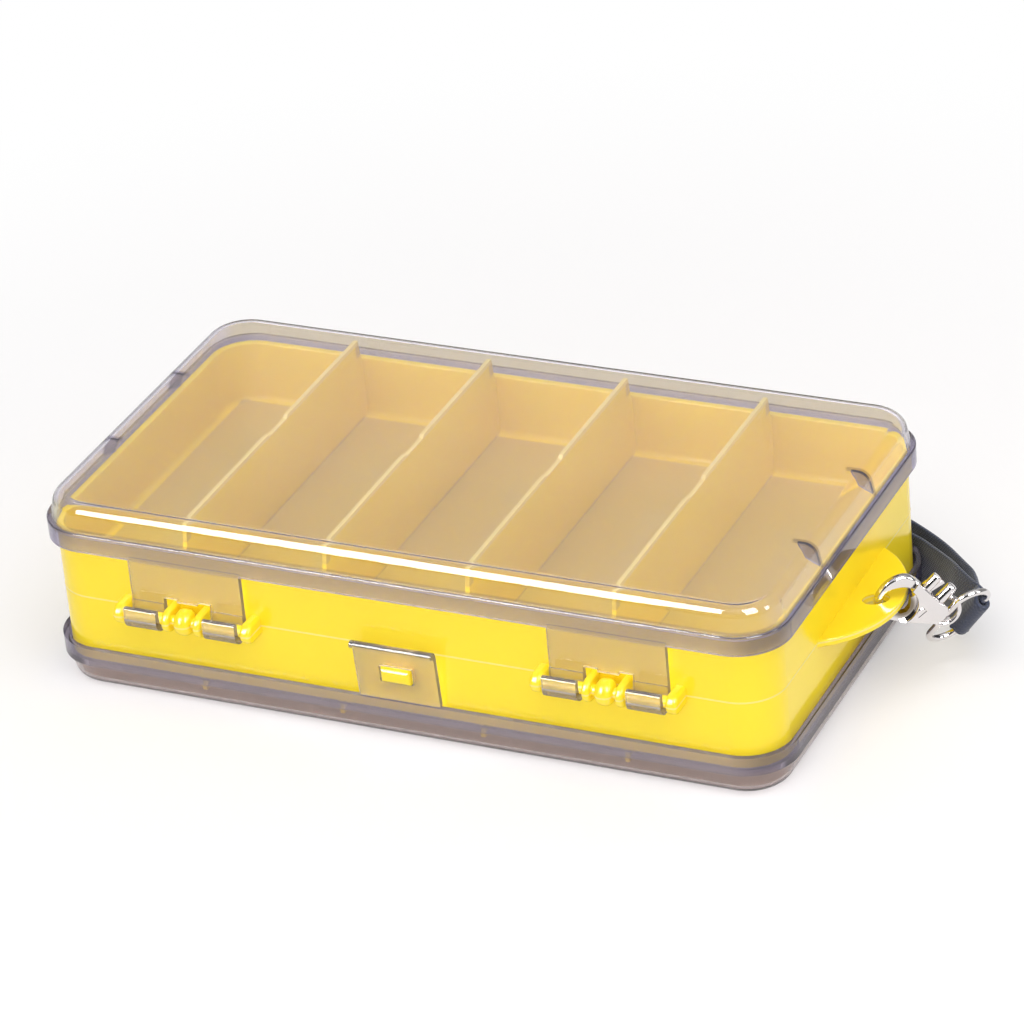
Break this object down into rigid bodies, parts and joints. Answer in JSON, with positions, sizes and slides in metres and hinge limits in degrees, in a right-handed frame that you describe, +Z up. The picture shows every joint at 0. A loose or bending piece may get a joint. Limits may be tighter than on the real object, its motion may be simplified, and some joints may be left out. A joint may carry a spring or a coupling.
{
  "type": "double-sided tackle box",
  "caption": "Flat rounded box with compartments on both sides of a middle floor, a hinged clear lid over each side, sprung latches, and a wrist strap on a snap hook.",
  "frame": {"origin": "middle of the flat outside of the lower lid, on the surface the box stands on", "axes": "+X along the box towards the end with the strap lug, -Y towards the side with the upper lid's hinges, +Z up"},
  "size_m": [0.2281, 0.1508, 0.0526],
  "materials": {
    "yellow_plastic": "glossy moulded yellow polypropylene",
    "smoke_clear": "polished smoke-tinted clear plastic",
    "bright_metal": "bright plated zinc and wire",
    "spring_wire": "drawn spring wire",
    "webbing": "fine dark navy woven webbing",
    "thread": "navy sewing thread"
  },
  "bodies": {
    "tray": {"tray": "yellow_plastic", "divider_top_1": "yellow_plastic", "divider_top_2": "yellow_plastic", "divider_top_3": "yellow_plastic", "divider_top_4": "yellow_plastic", "divider_bottom_1": "yellow_plastic", "divider_bottom_2": "yellow_plastic", "divider_bottom_3": "yellow_plastic", "divider_bottom_4": "yellow_plastic"},
    "top_lid": {"top_lid": "smoke_clear"},
    "bottom_lid": {"bottom_lid": "smoke_clear"},
    "top_latch": {"top_latch": "smoke_clear"},
    "bottom_latch": {"bottom_latch": "smoke_clear"},
    "snap_hook": {"clasp_body": "bright_metal", "clasp_pin": "bright_metal", "clasp_spring": "spring_wire"},
    "snap_lever": {"clasp_lever": "bright_metal"},
    "ring": {"strap_ring": "bright_metal", "strap": "webbing", "strap_stitching": "thread"}
  },
  "joints": [
    {"name": "top_lid_hinge", "type": "hinge", "parent": "tray", "child": "top_lid", "pos_m": [0, -0.0567, 0.0263], "axis": [1, 0, 0], "range_deg": [0, 175]},
    {"name": "bottom_lid_hinge", "type": "hinge", "parent": "tray", "child": "bottom_lid", "pos_m": [0, 0.0567, 0.0263], "axis": [1, 0, 0], "range_deg": [0, 175], "deforming": ["strap", "strap_stitching"]},
    {"name": "top_latch_flex", "type": "hinge", "parent": "top_lid", "child": "top_latch", "pos_m": [0, 0.0543, 0.0398], "axis": [1, 0, 0], "range_deg": [0, 12], "stiffness_Nm_per_rad": 0.05},
    {"name": "bottom_latch_flex", "type": "hinge", "parent": "bottom_lid", "child": "bottom_latch", "pos_m": [0, -0.0543, 0.0128], "axis": [1, 0, 0], "range_deg": [0, 12], "stiffness_Nm_per_rad": 0.05},
    {"name": "snap_hook_swing", "type": "hinge", "parent": "tray", "child": "snap_hook", "pos_m": [0.10492, 0.00109, 0.0259], "axis": [0, 0, 1], "range_deg": [-30, 0]},
    {"name": "snap_lever_press", "type": "hinge", "parent": "snap_hook", "child": "snap_lever", "pos_m": [0.11328, 0.00736, 0.0218], "axis": [-0.6, 0.8, 0], "range_deg": [0, 8], "stiffness_Nm_per_rad": 0.02},
    {"name": "ring_swing", "type": "hinge", "parent": "snap_hook", "child": "ring", "pos_m": [0.1188, 0.012, 0.0191], "axis": [0, 0, 1], "range_deg": [-15, 0]}
  ]
}
